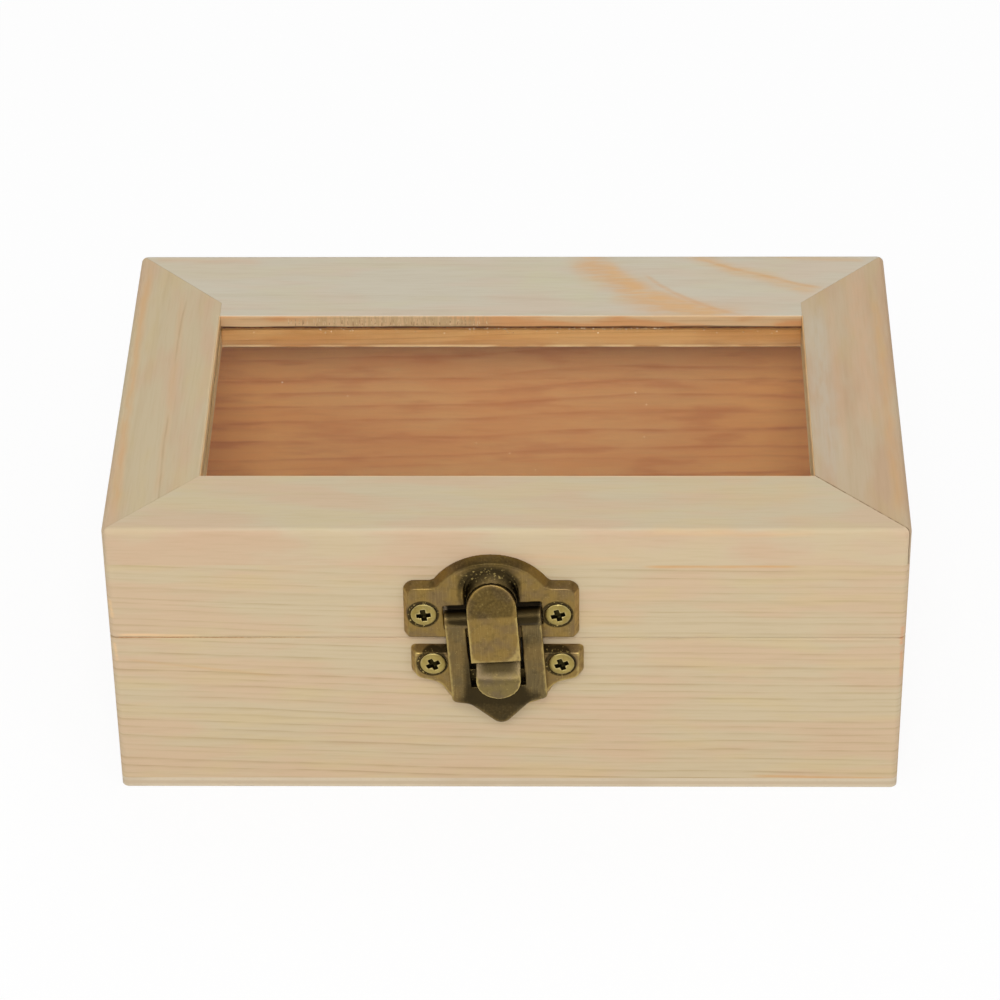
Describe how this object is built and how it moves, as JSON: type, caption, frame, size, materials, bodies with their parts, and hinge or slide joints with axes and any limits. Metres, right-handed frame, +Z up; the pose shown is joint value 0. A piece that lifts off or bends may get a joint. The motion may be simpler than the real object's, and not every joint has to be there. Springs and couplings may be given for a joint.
{
  "type": "display box",
  "caption": "Small pine display box with a clear window in its hinged lid and a stamped brass hasp latch at the front.",
  "frame": {"origin": "centre of the wooden box's underside", "axes": "+X right as the latch is faced, +Y to the hinges at the back, +Z up"},
  "size_m": [0.13, 0.0872, 0.054],
  "materials": {
    "wall_pine": "bare planed pine",
    "frame_pine": "bare planed pine, paler",
    "bottom_ply": "bare thin plywood",
    "antique_brass": "antique brass, rubbed edges",
    "screws": "brass plate, brighter",
    "pane": "clear"
  },
  "bodies": {
    "base": {"base_front_wall": "wall_pine", "base_back_wall": "wall_pine", "base_left_wall": "wall_pine", "base_right_wall": "wall_pine", "bottom_panel": "bottom_ply", "latch_base_plate": "antique_brass", "latch_catch": "antique_brass", "latch_base_screws": "screws", "hinge_left_base_leaf": "antique_brass", "hinge_left_pin": "antique_brass", "hinge_right_base_leaf": "antique_brass", "hinge_right_pin": "antique_brass", "hinge_base_screws": "screws"},
    "lid": {"lid_front_wall": "wall_pine", "lid_back_wall": "wall_pine", "lid_left_wall": "wall_pine", "lid_right_wall": "wall_pine", "frame_front_rail": "frame_pine", "frame_back_rail": "frame_pine", "frame_left_stile": "frame_pine", "frame_right_stile": "frame_pine", "window_pane": "pane", "latch_lid_plate": "antique_brass", "latch_lid_screws": "screws", "hinge_left_lid_leaf": "antique_brass", "hinge_right_lid_leaf": "antique_brass", "hinge_lid_screws": "screws"},
    "hasp": {"latch_hasp": "antique_brass"}
  },
  "joints": [
    {"name": "lid_hinge", "type": "hinge", "parent": "base", "child": "lid", "pos_m": [0, 0.0415, 0.032], "axis": [-1, 0, 0], "range_deg": [0, 180], "deforming": ["latch_catch"]},
    {"name": "hasp_swing", "type": "hinge", "parent": "lid", "child": "hasp", "pos_m": [-0.0022, -0.0418, 0.03765], "axis": [-0.998, 0, -0.0628], "range_deg": [0, 140], "deforming": ["latch_catch"]}
  ]
}
